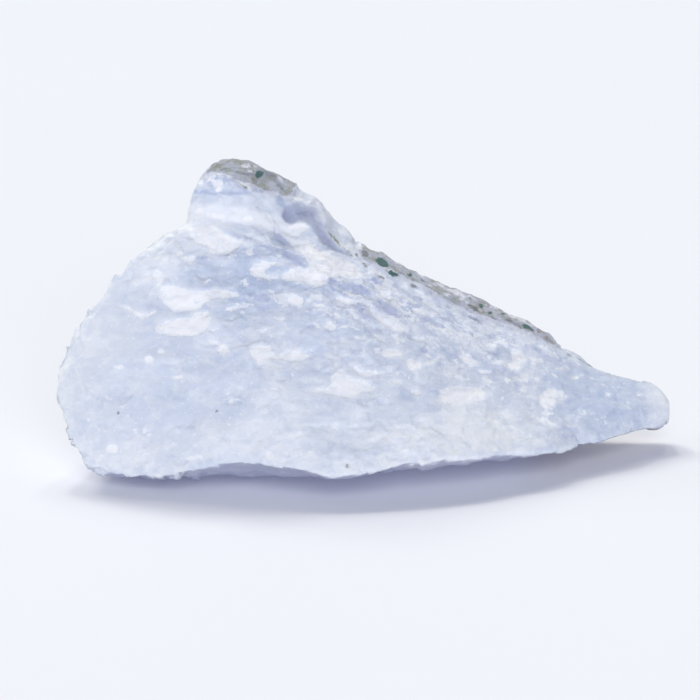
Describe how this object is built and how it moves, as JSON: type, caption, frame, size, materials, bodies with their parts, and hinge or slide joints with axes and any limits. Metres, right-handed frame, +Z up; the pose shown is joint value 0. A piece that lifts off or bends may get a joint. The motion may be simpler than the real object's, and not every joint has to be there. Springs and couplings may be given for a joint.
{
  "type": "rough chalcedony",
  "caption": "Small rough piece of pale blue chalcedony: a wedge of broken, flaked stone with a banded knob and a thin grey-green rind, standing on its worn underside.",
  "frame": {"origin": "under the middle of the stone's box, on the plane it stands on", "axes": "+X along the stone's length towards its thin tip, -Y out of the broad fracture face, +Z up"},
  "size_m": [0.0622, 0.0268, 0.0296],
  "materials": {
    "chalcedony": "rough broken chalcedony, pale blue and faintly translucent, with white flake scars, a granular matt surface, and a thin olive-grey rind on its back and upper edge"
  },
  "bodies": {
    "root": {"chalcedony": "chalcedony"}
  },
  "joints": []
}
